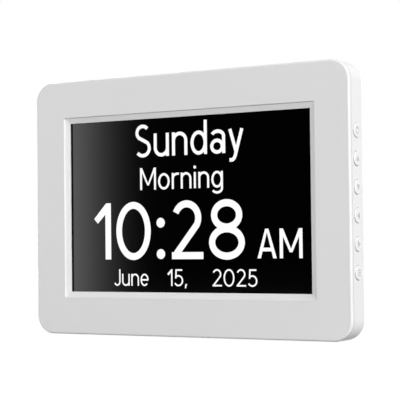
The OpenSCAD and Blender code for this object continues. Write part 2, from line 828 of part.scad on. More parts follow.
module memory_chips() {
  color(chip_black) {
    component(memory_x, memory_z, memory_w, memory_h, 1.1);
    component(processor_x, processor_z - processor_side / 2 - part_gap - 1.5 - flash_h / 2, flash_w,
      flash_h, 1);
    component(board_w / 2 - driver_inset_x - driver_w / 2, board_h / 2 - driver_inset_z - driver_h / 2,
      driver_w, driver_h, 1.2);
  }
}

module board_capacitors() {
  pair = capacitor_inset_x - board_w / 2;
  for (x = [pair, pair + capacitor_d + 1.7, board_w / 2 - capacitor_inset_x + 10])
    color(steel) depth_rod(x, board_bottom + capacitor_inset_z, capacitor_d / 2, board_back,
      board_back + capacitor_h);
}

module board_inductor() {
  color(chip_black) component(inductor_inset_x - board_w / 2, inductor_inset_z - board_h / 2,
    inductor_side, inductor_side, 3);
}

module clock_crystal() {
  color(steel) component(memory_x, memory_z - memory_h / 2 - part_gap - crystal_h / 2 + 0.6,
    crystal_w, crystal_h, 1.2);
}

module cell_holder() {
  half = cell_d / 2 + holder_wall;
  rim = board_back + holder_floor + 2.8;
  notch = 0.4 * cell_d; // width of the notch above the cell
  color(chip_black) translate([cell_x, 0, cell_z]) difference() {
    block(-half, half, board_back, rim, -half, half);
    depth_rod(0, 0, cell_d / 2 + fit_gap, board_back + holder_floor, rim + cut);
    block(-notch / 2, notch / 2, board_back + holder_floor, rim + cut, 0, cell_d);
  }
}

module backup_cell() {
  seat = board_back + holder_floor;
  color(steel) translate([cell_x, 0, cell_z]) {
    depth_rod(0, 0, cell_d / 2, seat, seat + cell_h * 0.75);
    depth_rod(0, 0, cell_d / 2 - 1.2, seat, seat + cell_h);
  }
}

module display_connector() {
  color(clear_white) component(0, (connector_h - board_h) / 2 + connector_inset, ribbon_w + 4,
    connector_h, 2);
}

module display_ribbon() {
  flat_depth = pan_back_depth + ribbon_t / 2;
  ribbon_low = board_bottom - ribbon_drop;
  color(ribbon_orange) ribbon([
    [flat_depth, board_bottom + ribbon_flat],
    [flat_depth, board_bottom],
    [flat_depth + 1.1, ribbon_low],
    [board_back + 0.4, ribbon_low],
    [board_back + 1, ribbon_low + 0.9],
    [board_back + 1, board_bottom + connector_inset]
  ], 0, ribbon_w, ribbon_t);
}

// ---------- speaker ----------

module speaker_gasket() {
  color(foam_black) difference() {
    depth_rod(-speaker_x, speaker_height, speaker_d / 2, speaker_back, hump_inner_depth);
    depth_rod(-speaker_x, speaker_height, speaker_d / 2 - 2, speaker_back - cut, hump_inner_depth + cut);
  }
}

module speaker_frame() {
  color(steel) difference() {
    depth_rod(-speaker_x, speaker_height, speaker_d / 2, speaker_front, speaker_back);
    depth_rod(-speaker_x, speaker_height, speaker_d / 2 - basket_wall, speaker_front + basket_floor,
      speaker_back + cut);
  }
}

module speaker_cone() {
  cone_r = speaker_d / 2 - basket_wall - 0.2;
  hub_r = 4;
  color(foam_black) translate([-speaker_x, front_y + speaker_front + basket_floor, speaker_height])
    rotate([-90, 0, 0]) rotate_extrude() polygon([
      [0, 0], [hub_r, 0], [hub_r, 0.4], [cone_r - 1, 1.6], [cone_r, 1.6], [cone_r, 2],
      [cone_r - 1.4, 2], [hub_r, 0.9], [0, 1.6]
    ]);
}

module speaker_magnet() {
  color(steel)
    depth_rod(-speaker_x, speaker_height, magnet_r, speaker_front - magnet_t, speaker_front);
}

module speaker_wires() {
  start_x = -speaker_x + magnet_r + 1.6;
  color(wire_red) for (step = [0, speaker_wire_t + 0.7])
    wire([
      [start_x, speaker_front - speaker_wire_t / 2],
      [start_x + 3, speaker_front - speaker_wire_t / 2],
      [start_x + 5.5, board_back + 1.4],
      [start_x + 7, board_back + speaker_wire_t / 2],
      [start_x + 11, board_back + speaker_wire_t / 2]
    ], speaker_height - step, speaker_wire_t);
}

// ---------- buttons ----------

module button_board() {
  color(board_green) block(button_board_x, button_board_x + board_t, button_depth - side_board_w / 2,
    button_depth + side_board_w / 2, row_z - button_board_h / 2, row_z + button_board_h / 2);
}

module switch_bodies() {
  color(chip_black) for (i = [0 : button_count - 1]) difference() {
    block(switch_face_x - switch_t, switch_face_x, button_depth - switch_side / 2,
      button_depth + switch_side / 2, button_z(i) - switch_side / 2, button_z(i) + switch_side / 2);
    cross_rod(button_depth, button_z(i), plunger_r + 0.1, switch_face_x - switch_well,
      switch_face_x + cut);
  }
}

module plunger(i) {
  color(chip_black)
    cross_rod(button_depth, button_z(i), plunger_r, plunger_tip_x - plunger_len, plunger_tip_x);
}

// A cap with its retaining flange and stem; children draw the sign on its face
module cap(i) {
  face_x = body_w / 2 + cap_proud;
  color(cap_white) translate([0, front_y + button_depth, button_z(i)]) {
    rotate([0, 90, 0]) rotate_extrude() intersection() {
      translate([0, flange_x + flange_t - sink])
        edge_section(cap_d, face_x - flange_x - flange_t + sink, 0, cap_round);
      translate([0, flange_x]) square([cap_d, cap_d]);
    }
    translate([flange_x, 0, 0]) rotate([0, 90, 0]) cylinder(d = flange_d, h = flange_t);
    translate([plunger_tip_x, 0, 0]) rotate([0, 90, 0]) cylinder(r = stem_r, h = stem_len + sink);
    translate([face_x - sink, 0, 0]) rotate([90, 0, 90]) linear_extrude(sign_t + sink) children();
  }
}

// Signs, drawn as seen from the right side with the clock's front to the left
module arrow(turn) {
  rotate(turn) polygon([[-2.1, -1.4], [2.1, -1.4], [0, 1.9]]);
}

module power_sign() {
  difference() {
    circle(2.2);
    circle(1.6);
    translate([-0.8, 0]) square([1.6, 3]);
  }
  translate([-0.3, 0.3]) square([0.6, 2.1]);
}

module menu_sign() {
  for (row = [-1 : 1]) translate([-2, row * 1.4 - 0.3]) square([4, 0.6]);
}

module power_button() cap(0) power_sign();
module up_button() cap(1) arrow(0);
module down_button() cap(2) arrow(180);
module left_button() cap(3) arrow(90);
module right_button() cap(4) arrow(-90);
module menu_button() cap(5) menu_sign();

module button_cable() {
  start_x = button_board_x - cable_t / 2;
  color(clear_white) for (lane = [0 : 3])
    wire([
      [start_x, button_depth + 1],
      [start_x, button_depth + 1.8],
      [start_x - 2.5, board_back + 0.9],
      [pan_w / 2, board_back + 1.2],
      [board_w / 2 + 5, board_back + 1.2],
      [board_w / 2 - 1.5, board_back + cable_t / 2],
      [board_w / 2 - landing, board_back + cable_t / 2]
    ], row_z - 10 + lane * cable_t * 1.1, cable_t);
}

// ---------- power ----------

module power_board() {
  color(board_green) block(-power_board_x - board_t, -power_board_x, socket_depth - side_board_w / 2,
    socket_depth + side_board_w / 2, power_board_z - power_board_h / 2, power_board_z + power_board_h / 2);
}

module power_socket() {
  color(chip_black) difference() {
    union() {
      block(-socket_face_x, -socket_face_x + socket_len, socket_depth - socket_body_w / 2,
        socket_depth + socket_body_w / 2, socket_height - socket_body_h / 2,
        socket_height + socket_body_h / 2);
      cross_rod(socket_depth, socket_height, socket_nose_r, -body_w / 2 + 0.3, -socket_face_x + 0.1);
    }
    cross_rod(socket_depth, socket_height, socket_r, -body_w / 2 - cut, -socket_face_x + socket_bore);
    cross_rod(socket_depth, socket_height, socket_pin_r, -socket_face_x + socket_bore - 1,
      -socket_face_x + socket_len + cut);
  }
}

module power_socket_pin() {
  color(gold) cross_rod(socket_depth, socket_height, socket_pin_r, -body_w / 2 + 1.2,
    -socket_face_x + socket_len);
}

module power_wires() {
  start_x = -power_board_x + supply_wire_t / 2;
  color(wire_red) for (lane = [0, supply_wire_t + 0.3])
    wire([
      [start_x, socket_depth + 1],
      [start_x, socket_depth + 1.8],
      [start_x + 2.5, board_back + 0.9],
      [-pan_w / 2 + 8, board_back + 1.4],
      [-board_w / 2 - 5, board_back + 1.4],
      [-board_w / 2 + 1.5, board_back + supply_wire_t / 2],
      [-board_w / 2 + landing, board_back + supply_wire_t / 2]
    ], supply_z + lane, supply_wire_t);
}

// ---------- stand ----------

module stand_pin() {
  color(steel)
    cross_rod(hinge_depth, hinge_height, pin_r, -pin_half + pin_end_gap, pin_half - pin_end_gap);
}

module stand_leg() {
  flap_h = hinge_height - leg_tip_z;
  flap_mid = (leg_tip_z + hinge_height) / 2;
  heel_half = leg_w / 2 - 4;
  skin = 1.4; // thickness of the flap over its hollow
  grip_pitch = 2.4;
  color(shell_white) difference() {
    union() {
      // the flap, from its tip up to the barrel
      plate(leg_front, leg_back) translate([0, flap_mid]) {
        rounded_rect(leg_w, flap_h, 3);
        translate([-leg_w / 2, 0]) square([leg_w, flap_h / 2]);
      }
      cross_rod(hinge_depth, hinge_height, barrel_r, -leg_w / 2, leg_w / 2);
      // the heel that stops the open leg against the recess's floor
      block(-heel_half, heel_half, leg_back - heel_t, leg_back, hinge_height, hinge_height + heel_reach);
    }
    cross_rod(hinge_depth, hinge_height, pin_r + pin_clearance, -leg_w / 2 - cut, leg_w / 2 + cut);
    // hollow in the flap's inner side, and grip grooves near its tip
    plate(leg_front - cut, leg_back - skin) translate([0, flap_mid + 1])
      rounded_rect(leg_w - 8, flap_h - 24, 3);
    for (i = [0 : 4]) translate([0, 0, leg_tip_z + 2 * pad_h + i * grip_pitch])
      block(-leg_w / 4, leg_w / 4, leg_back - 0.5, leg_back + cut, 0, grip_pitch / 2);
    block(-pad_w / 2, pad_w / 2, leg_back - pad_t, leg_back + cut, leg_tip_z - cut, leg_tip_z + pad_h);
  }
}

module stand_pad() {
  pad_half = pad_w / 2 - 0.1;
  color(rubber_grey) block(-pad_half, pad_half, leg_back - pad_t, leg_back + 0.2, leg_tip_z - 0.4,
    leg_tip_z + pad_h - 0.1);
}

// ---------- assembly ----------

front_frame();
rear_housing();
window_gasket();
lcd_cell();
diffuser_sheets();
light_guide();
light_strip();
lcd_pan();
lcd_clips();
lcd_clip_screws();
main_board();
main_board_screws();
processor();
memory_chips();
board_capacitors();
board_inductor();
clock_crystal();
cell_holder();
backup_cell();
display_connector();
display_ribbon();
speaker_gasket();
speaker_frame();
speaker_cone();
speaker_magnet();
speaker_wires();
button_board();
switch_bodies();
button_cable();
power_board();
power_socket();
power_socket_pin();
power_wires();
case_screws();
rubber_feet();
stand_pin();
rating_label();
stand_leg();
stand_pad();
power_button();
up_button();
down_button();
left_button();
right_button();
menu_button();
plunger(0);  // power_plunger
plunger(1);  // up_plunger
plunger(2);  // down_plunger
plunger(3);  // left_plunger
plunger(4);  // right_plunger
plunger(5);  // menu_plunger
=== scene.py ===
# Day clock: finishes for every piece, the picture on the display, and a small white studio.
# Metres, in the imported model's frame: +X to the right of the display, +Y to the back, +Z up.
import math

import bpy
from mathutils import Matrix, Vector


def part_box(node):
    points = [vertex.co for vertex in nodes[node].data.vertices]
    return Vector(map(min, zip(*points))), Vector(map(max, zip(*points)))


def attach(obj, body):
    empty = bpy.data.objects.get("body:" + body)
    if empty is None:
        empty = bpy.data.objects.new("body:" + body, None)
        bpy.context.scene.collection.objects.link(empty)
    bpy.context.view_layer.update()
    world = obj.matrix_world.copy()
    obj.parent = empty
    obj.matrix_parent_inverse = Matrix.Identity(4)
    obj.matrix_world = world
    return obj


mm = 0.001
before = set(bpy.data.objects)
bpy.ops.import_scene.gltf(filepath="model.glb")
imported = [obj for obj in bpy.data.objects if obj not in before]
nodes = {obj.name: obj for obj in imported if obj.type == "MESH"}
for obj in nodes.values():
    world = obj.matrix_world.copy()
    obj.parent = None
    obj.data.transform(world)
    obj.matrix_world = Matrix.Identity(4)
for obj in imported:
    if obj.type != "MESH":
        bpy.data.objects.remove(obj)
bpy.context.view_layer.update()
print("frame loaded:", len(nodes), "nodes")


def newMaterial(name):
    material = bpy.data.materials.new(name)
    material.use_nodes = True
    material.node_tree.nodes.clear()
    return material, material.node_tree


def newPiece(name, verts, faces):
    mesh = bpy.data.meshes.new(name)
    mesh.from_pydata(verts, [], faces)
    mesh.update()
    piece = bpy.data.objects.new(name, mesh)
    bpy.context.scene.collection.objects.link(piece)
    return piece


def addNode(tree, kind, **inputs):
    node = tree.nodes.new(kind)
    for key, value in inputs.items():
        node.inputs[key.replace("_", " ")].default_value = value
    return node


def link(tree, source, target):
    tree.links.new(source, target)


def outputTo(tree, shader, kind="ShaderNodeOutputMaterial"):
    link(tree, shader.outputs[0], tree.nodes.new(kind).inputs[0])


def objectPlace(tree, stretch=(1, 1, 1)):
    # place on the piece itself, so that a pattern moves with it
    coords = tree.nodes.new("ShaderNodeTexCoord")
    mapping = addNode(tree, "ShaderNodeMapping", Scale=stretch)
    link(tree, coords.outputs["Object"], mapping.inputs["Vector"])
    return mapping.outputs["Vector"]


def splitAxes(tree, place):
    axes = tree.nodes.new("ShaderNodeSeparateXYZ")
    link(tree, place, axes.inputs[0])
    return axes.outputs


def noise(tree, place, size, detail=2.0, roughness=0.5):
    # size is the width of a grain, in metres
    node = addNode(tree, "ShaderNodeTexNoise", Scale=1 / size, Detail=detail, Roughness=roughness)
    link(tree, place, node.inputs["Vector"])
    return node.outputs["Fac"]


def combine(tree, operation, first, second=None):
    # second is a socket or a number, where the operation has one
    node = tree.nodes.new("ShaderNodeMath")
    node.operation = operation
    link(tree, first, node.inputs[0])
    if isinstance(second, (int, float)):
        node.inputs[1].default_value = second
    elif second is not None:
        link(tree, second, node.inputs[1])
    return node.outputs[0]


def spread(tree, value, low, high, fromLow=0.3, fromHigh=0.7):
    node = tree.nodes.new("ShaderNodeMapRange")
    for key, number in zip(("From Min", "From Max", "To Min", "To Max"), (fromLow, fromHigh, low, high)):
        node.inputs[key].default_value = number
    link(tree, value, node.inputs["Value"])
    return node.outputs["Result"]


def between(tree, value, low, high, softLow, softHigh):
    # 1 from low to high, and 0 outside the soft edges
    rising = spread(tree, value, 0.0, 1.0, low - softLow, low)
    falling = spread(tree, value, 1.0, 0.0, high, high + softHigh)
    return combine(tree, "MULTIPLY", rising, falling)


def mixColours(tree, factor, first, second):
    node = tree.nodes.new("ShaderNodeMix")
    node.data_type = "RGBA"
    for key, colour in (("A", first), ("B", second)):
        socket = next(s for s in node.inputs if s.name == key and s.type == "RGBA")
        if isinstance(colour, tuple):
            socket.default_value = (*colour, 1)
        else:
            link(tree, colour, socket)
    link(tree, factor, node.inputs["Factor"])
    return next(s for s in node.outputs if s.type == "RGBA")


def shade(colour, factor):
    return tuple(part * factor for part in colour)


def bump(tree, height, depth, strength=1.0, under=None):
    node = addNode(tree, "ShaderNodeBump", Strength=strength, Distance=depth)
    link(tree, height, node.inputs["Height"])
    if under is not None:
        link(tree, under, node.inputs["Normal"])
    return node.outputs["Normal"]


def finishShader(tree, colour, roughness, normal=None, **plain):
    # roughness is a number where it is the same all over
    shader = addNode(tree, "ShaderNodeBsdfPrincipled", **plain)
    link(tree, colour, shader.inputs["Base Color"])
    if isinstance(roughness, float):
        shader.inputs["Roughness"].default_value = roughness
    else:
        link(tree, roughness, shader.inputs["Roughness"])
    if normal is not None:
        link(tree, normal, shader.inputs["Normal"])
    outputTo(tree, shader)


def dress(material, *names):
    for name in names:
        nodes[name].data.materials.clear()
        nodes[name].data.materials.append(material)


# moulded plastic: the shell, the button caps, connectors and wires
buttonNames = ("power", "up", "down", "left", "right", "menu")
capBoxes = {name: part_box(name + "_button") for name in buttonNames}
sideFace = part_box("rear_housing")[1].x
shellLook = {
    "colour": (0.80, 0.80, 0.80), "flowShade": 0.985, "flowSize": 0.05, "flowDetail": 3.0,
    "roughness": 0.34, "unevenGloss": 0.04, "shine": 0.35,
    "grainSize": 0.00035, "grainDepth": 0.00002, "grainStrength": 0.35,
}
capLook = {
    "colour": (0.82, 0.82, 0.82), "flowShade": 0.985, "flowSize": 0.004, "flowDetail": 2.0,
    "roughness": 0.38, "unevenGloss": 0.0, "shine": 0.45,
    "grainSize": 0.0003, "grainDepth": 0.00001, "grainStrength": 0.3,
    "signColour": (0.5, 0.5, 0.51), "signDepth": 0.06 * mm, "signEdge": 0.02 * mm,
    # painted shade low in the gap round each cap, darker below the cap's middle
    "gapShadeColour": (0.14, 0.14, 0.14), "gapShadeDepth": 0.2 * mm, "gapShadeBelow": 1.0 * mm, "gapShadeFade": 2.5 * mm,
}
# painted shade for the walls of the button holes: its colour stands in for the shadow in the gaps round the
# caps
holeShade = {
    "colour": (0.3, 0.3, 0.3), "radius": 4.65 * mm, "deep": 1.7 * mm, "shallow": 0.3 * mm,
    "around": 0.5 * mm, "edge": 0.1 * mm, "outerEdge": 0.25 * mm,
}
ivoryLook = dict(shellLook, colour=(0.72, 0.70, 0.62), roughness=0.5, grainSize=0.0002)
wireLook = dict(shellLook, colour=(0.45, 0.02, 0.015), roughness=0.4, grainSize=0.0004)


def mouldedPlastic(name, look, shadeAndPrint=None):
    # fine spark-eroded grain, a little unevenness from the mould, and slightly uneven gloss
    material, tree = newMaterial(name)
    place = objectPlace(tree)
    flow = noise(tree, place, look["flowSize"], look["flowDetail"])
    grain = noise(tree, place, look["grainSize"], 2.0, 0.6)
    darker = shade(look["colour"], look["flowShade"])
    colour = mixColours(tree, spread(tree, flow, 0.0, 1.0), look["colour"], darker)
    # painted shade in the gaps, and print on the caps, where given
    if shadeAndPrint:
        colour = shadeAndPrint(tree, splitAxes(tree, place), colour)
    roughness, uneven = look["roughness"], look["unevenGloss"]
    if uneven:
        roughness = spread(tree, grain, roughness - uneven, roughness + uneven)
    normal = bump(tree, grain, look["grainDepth"], look["grainStrength"])
    finishShader(tree, colour, roughness, normal, Specular_IOR_Level=look["shine"])
    return material


def shadeInHoles(tree, axes, unshaded):
    # painted shade: the walls of the button holes are darkened as if in shadow
    low = min(box[0].z for box in capBoxes.values()) - holeShade["around"]
    high = max(box[1].z for box in capBoxes.values()) + holeShade["around"]
    middle = sum(corner.y for corner in capBoxes["power"]) / 2
    reach, edge = holeShade["radius"], holeShade["edge"]
    across = between(tree, axes["Y"], middle - reach, middle + reach, edge, edge)
    upright = between(tree, axes["Z"], low, high, edge, edge)
    inward = between(tree, axes["X"], sideFace - holeShade["deep"], sideFace - holeShade["shallow"],
                     edge, holeShade["outerEdge"])
    walls = combine(tree, "MULTIPLY", combine(tree, "MULTIPLY", across, upright), inward)
    return mixColours(tree, walls, unshaded, holeShade["colour"])


def signAndShade(name):
    # grey print on the raised sign, and painted shade low in the gap round the cap
    low, high = capBoxes[name]
    gapShadeTop = (low.z + high.z) / 2 + capLook["gapShadeBelow"]
    printFrom = high.x - capLook["signDepth"]

    def colourCap(tree, axes, unshaded):
        # painted shade on the sunken flank of the cap, lower half only
        sunken = spread(tree, axes["X"], 1.0, 0.0, sideFace, sideFace + capLook["gapShadeDepth"])
        lower = spread(tree, axes["Z"], 1.0, 0.0, gapShadeTop - capLook["gapShadeFade"], gapShadeTop)
        shaded = mixColours(tree, combine(tree, "MULTIPLY", sunken, lower), unshaded, capLook["gapShadeColour"])
        printed = spread(tree, axes["X"], 0.0, 1.0, printFrom, printFrom + capLook["signEdge"])
        return mixColours(tree, printed, shaded, capLook["signColour"])

    return colourCap


dress(mouldedPlastic("shellPlastic", shellLook), "front_frame", "stand_leg")
dress(mouldedPlastic("housingPlastic", shellLook, shadeInHoles), "rear_housing")
for name in buttonNames:
    dress(mouldedPlastic(name + "_buttonPlastic", capLook, signAndShade(name)), name + "_button")
dress(mouldedPlastic("connectorIvory", ivoryLook), "display_connector", "light_strip", "button_cable")
dress(mouldedPlastic("wireSkin", wireLook), "speaker_wires", "power_wires")


# the display's black glass under a fine anti-glare film
displayLook = {
    "colour": (0.0005, 0.0005, 0.0006), "speckle": 1.5, "roughness": 0.1, "shine": 0.3,
    "grainSize": 0.00025, "grainDepth": 0.000004, "grainStrength": 0.3,
}


def displayGlass(look):
    material, tree = newMaterial("displayGlass")
    grain = noise(tree, objectPlace(tree), look["grainSize"], 1.0)
    colour = mixColours(tree, grain, look["colour"], shade(look["colour"], look["speckle"]))
    normal = bump(tree, grain, look["grainDepth"], look["grainStrength"])
    finishShader(tree, colour, look["roughness"], normal, Specular_IOR_Level=look["shine"])
    return material


dress(displayGlass(displayLook), "lcd_cell")


# foam, rubber, paper and resin: open pores, no shine
dullShared = {"poreTone": 1.6, "poreStrength": 0.8, "shine": 0.2}
dullLooks = {
    "gasketFoam": {
        "colour": (0.012, 0.012, 0.012), "poreSize": 0.0002, "poreDepth": 0.00005, "roughness": 0.9,
        "on": ("window_gasket", "speaker_gasket"),
    },
    "conePaper": {
        "colour": (0.02, 0.02, 0.02), "poreSize": 0.0005, "poreDepth": 0.00006, "roughness": 0.8,
        "on": ("speaker_cone",),
    },
    "footRubber": {
        "colour": (0.09, 0.09, 0.095), "poreSize": 0.0004, "poreDepth": 0.00003, "roughness": 0.72,
        "on": ("rubber_feet", "stand_pad"),
    },
    "chipResin": {
        "colour": (0.018, 0.018, 0.02), "poreSize": 0.0002, "poreDepth": 0.00001, "roughness": 0.5,
        "on": ("processor", "memory_chips", "board_inductor", "cell_holder", "switch_bodies",
               "power_socket", *(name + "_plunger" for name in buttonNames)),
    },
}


def dullBlack(name, look, shared):
    material, tree = newMaterial(name)
    pores = noise(tree, objectPlace(tree), look["poreSize"], 4.0, 0.7)
    paler = shade(look["colour"], shared["poreTone"])
    tone = mixColours(tree, spread(tree, pores, 0.0, 1.0), look["colour"], paler)
    normal = bump(tree, pores, look["poreDepth"], shared["poreStrength"])
    finishShader(tree, tone, look["roughness"], normal, Specular_IOR_Level=shared["shine"])
    return material


for name, look in dullLooks.items():
    dress(dullBlack(name, look, dullShared), *look["on"])


# rolled or turned metal: fine lines one way
metalShared = {
    "lineSize": 0.0004, "lineShade": 0.86, "lineDepth": 0.000008, "lineStrength": 0.4,
    "smoother": 0.08, "rougher": 0.1,
}
metalLooks = {
    "plateSteel": {
        "colour": (0.62, 0.62, 0.64), "roughness": 0.32, "stretch": (0.05, 1, 1),
        "on": ("lcd_pan", "lcd_clips", "speaker_frame", "speaker_magnet", "backup_cell", "clock_crystal"),
    },
    "screwSteel": {
        "colour": (0.55, 0.55, 0.57), "roughness": 0.28, "stretch": (1, 0.1, 1),
        "on": ("case_screws", "lcd_clip_screws", "main_board_screws", "stand_pin"),
    },
    "canAluminium": {
        "colour": (0.78, 0.78, 0.8), "roughness": 0.3, "stretch": (1, 0.1, 1),
        "on": ("board_capacitors",),
    },
    "pinBrass": {
        "colour": (0.78, 0.58, 0.25), "roughness": 0.25, "stretch": (0.1, 1, 1),
        "on": ("power_socket_pin",),
    },
}


def linedMetal(name, look, shared):
    material, tree = newMaterial(name)
    lines = noise(tree, objectPlace(tree, look["stretch"]), shared["lineSize"], 3.0, 0.6)
    tone = mixColours(tree, lines, look["colour"], shade(look["colour"], shared["lineShade"]))
    roughness = look["roughness"]
    rough = spread(tree, lines, roughness - shared["smoother"], roughness + shared["rougher"])
    normal = bump(tree, lines, shared["lineDepth"], shared["lineStrength"])
    finishShader(tree, tone, rough, normal, Metallic=1.0)
    return material


for name, look in metalLooks.items():
    dress(linedMetal(name, look, metalShared), *look["on"])


# the boards: solder mask over copper traces, with the glass weave faintly below
boardLook = {
    "mask": (0.012, 0.10, 0.045), "trace": (0.03, 0.2, 0.09), "roughness": 0.32,
    "traceSize": 0.0035, "traceFrom": 0.48, "traceTo": 0.52, "traceDepth": 0.00003, "traceStrength": 0.6,
    "weaveSize": 0.0006, "weaveBend": 1.5, "weaveDepth": 0.000006, "weaveStrength": 0.3,
    "lacquer": 0.3, "lacquerRoughness": 0.2,
}


def circuitBoard(look):
    material, tree = newMaterial("circuitBoard")
    place = objectPlace(tree)
    cells = addNode(tree, "ShaderNodeTexVoronoi", Scale=1 / look["traceSize"])
    cells.distance = "MANHATTAN"
    link(tree, place, cells.inputs["Vector"])
    waves = addNode(tree, "ShaderNodeTexWave", Scale=1 / look["weaveSize"], Distortion=look["weaveBend"])
    link(tree, place, waves.inputs["Vector"])
    traces = spread(tree, cells.outputs["Distance"], 0.0, 1.0, look["traceFrom"], look["traceTo"])
    colour = mixColours(tree, traces, look["mask"], look["trace"])
    weave = bump(tree, waves.outputs["Fac"], look["weaveDepth"], look["weaveStrength"])
    normal = bump(tree, traces, look["traceDepth"], look["traceStrength"], weave)
    finishShader(tree, colour, look["roughness"], normal, Coat_Weight=look["lacquer"],
                 Coat_Roughness=look["lacquerRoughness"])
    return material


dress(circuitBoard(boardLook), "main_board", "button_board", "power_board")


# light guide and films: clear, slightly hazy, with printed dots
acrylicLook = {
    "colour": (0.86, 0.9, 0.92), "dotColour": (0.96, 0.96, 0.96), "dotPitch": 0.0016, "dotScatter": 0.15,
    "dotFrom": 0.2, "dotTo": 0.3, "roughness": 0.2, "clearness": 0.35, "refraction": 1.49,
}


def milkyAcrylic(look):
    material, tree = newMaterial("milkyAcrylic")
    cells = addNode(tree, "ShaderNodeTexVoronoi", Scale=1 / look["dotPitch"], Randomness=look["dotScatter"])
    link(tree, objectPlace(tree), cells.inputs["Vector"])
    dots = spread(tree, cells.outputs["Distance"], 1.0, 0.0, look["dotFrom"], look["dotTo"])
    colour = mixColours(tree, dots, look["colour"], look["dotColour"])
    finishShader(tree, colour, look["roughness"], Transmission_Weight=look["clearness"],
                 IOR=look["refraction"])
    return material


dress(milkyAcrylic(acrylicLook), "diffuser_sheets", "light_guide")


# the ribbon to the display: amber film with copper traces that run its length
ribbonLook = {
    "film": (0.45, 0.17, 0.03), "copper": (0.62, 0.27, 0.06), "halfPitch": 0.5 * mm,
    "copperFrom": 0.22 * mm, "copperTo": 0.28 * mm, "copperDepth": 0.00002, "copperStrength": 0.5,
    "roughness": 0.3, "varnish": 0.4,
}


def ribbonFilm(look):
    material, tree = newMaterial("ribbonFilm")
    steps = combine(tree, "PINGPONG", splitAxes(tree, objectPlace(tree))["X"], look["halfPitch"])
    lanes = spread(tree, steps, 0.0, 1.0, look["copperFrom"], look["copperTo"])
    colour = mixColours(tree, lanes, look["film"], look["copper"])
    normal = bump(tree, lanes, look["copperDepth"], look["copperStrength"])
    finishShader(tree, colour, look["roughness"], normal, Coat_Weight=look["varnish"])
    return material


dress(ribbonFilm(ribbonLook), "display_ribbon")


# the rating label, left blank: silver film with a fine printed border
labelLook = {
    "silver": (0.62, 0.63, 0.64), "paleSilver": (0.7, 0.71, 0.72), "border": (0.25, 0.25, 0.26),
    "borderOut": 1.0 * mm, "borderIn": 1.3 * mm, "borderEdge": 0.05 * mm,
    "lineSize": 0.0003, "lineStretch": (0.02, 1, 1), "lineDepth": 0.000006, "lineStrength": 0.3,
    "roughness": 0.42, "metallic": 0.35,
}


def labelFilm(look):
    material, tree = newMaterial("labelFilm")
    lines = noise(tree, objectPlace(tree, look["lineStretch"]), look["lineSize"], 3.0)
    axes = splitAxes(tree, objectPlace(tree))
    low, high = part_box("rating_label")
    edge = look["borderEdge"]
    rims, insides = [], []
    for axis, start, end in (("X", low.x, high.x), ("Z", low.z, high.z)):
        centre, reach = (start + end) / 2, (end - start) / 2
        away = combine(tree, "ABSOLUTE", combine(tree, "SUBTRACT", axes[axis], centre))
        outer = reach - look["borderOut"]
        rims.append(between(tree, away, reach - look["borderIn"], outer, edge, edge))
        insides.append(spread(tree, away, 1.0, 0.0, outer, outer + edge))
    rim, inside = combine(tree, "MAXIMUM", *rims), combine(tree, "MULTIPLY", *insides)
    border = combine(tree, "MULTIPLY", rim, inside)
    silver = mixColours(tree, lines, look["silver"], look["paleSilver"])
    colour = mixColours(tree, border, silver, look["border"])
    normal = bump(tree, lines, look["lineDepth"], look["lineStrength"])
    finishShader(tree, colour, look["roughness"], normal, Metallic=look["metallic"])
    return material


dress(labelFilm(labelLook), "rating_label")
print("finishes on")


# the picture on the display: each line's words, its left edge and baseline in mm from the window's
# bottom centre, and the height of its capitals and the width of its strokes in mm
textLines = {
    "weekdayText": {"words": "Sunday", "left": -37.6, "base": 84.8, "cap": 20.0, "stroke": 2.2},
    "dayPartText": {"words": "Morning", "left": -33.6, "base": 64.1, "cap": 13.8, "stroke": 1.45},
    "timeText": {"words": "10:28", "left": -69.3, "base": 20.6, "cap": 35.8, "stroke": 4.35},
    "meridiemText": {"words": "AM", "left": 50.0, "base": 20.9, "cap": 17.6, "stroke": 2.2},
    "monthText": {"words": "June", "left": -54.2, "base": 4.0, "cap": 10.4, "stroke": 1.0},
    "dayText": {"words": "15,", "left": -14.0, "base": 4.0, "cap": 10.4, "stroke": 1.0},
    "yearText": {"words": "2025", "left": 18.4, "base": 4.0, "cap": 10.4, "stroke": 1.0},
}
textLook = {
    "lift": 0.06 * mm, "thickness": 0.04 * mm, "glow": 1.0,
    "xHeight": 0.72, "gap": 0.115, "overshoot": 0.012,  # as shares of the capitals' height
}


def arc(cx, cy, rx, ry, start, end, steps=28):
    # points from the angle start to the angle end, in degrees
    turn = [math.radians(start + (end - start) * i / steps) for i in range(steps + 1)]
    return [(cx + rx * math.cos(a), cy + ry * math.sin(a)) for a in turn]


def dot(cx, cy, radius, steps):
    return arc(cx, cy, radius, radius, 0, 360, steps)[:-1]


def bar(left, low, right, high):
    return [(left, low), (right, low), (right, high), (left, high)]


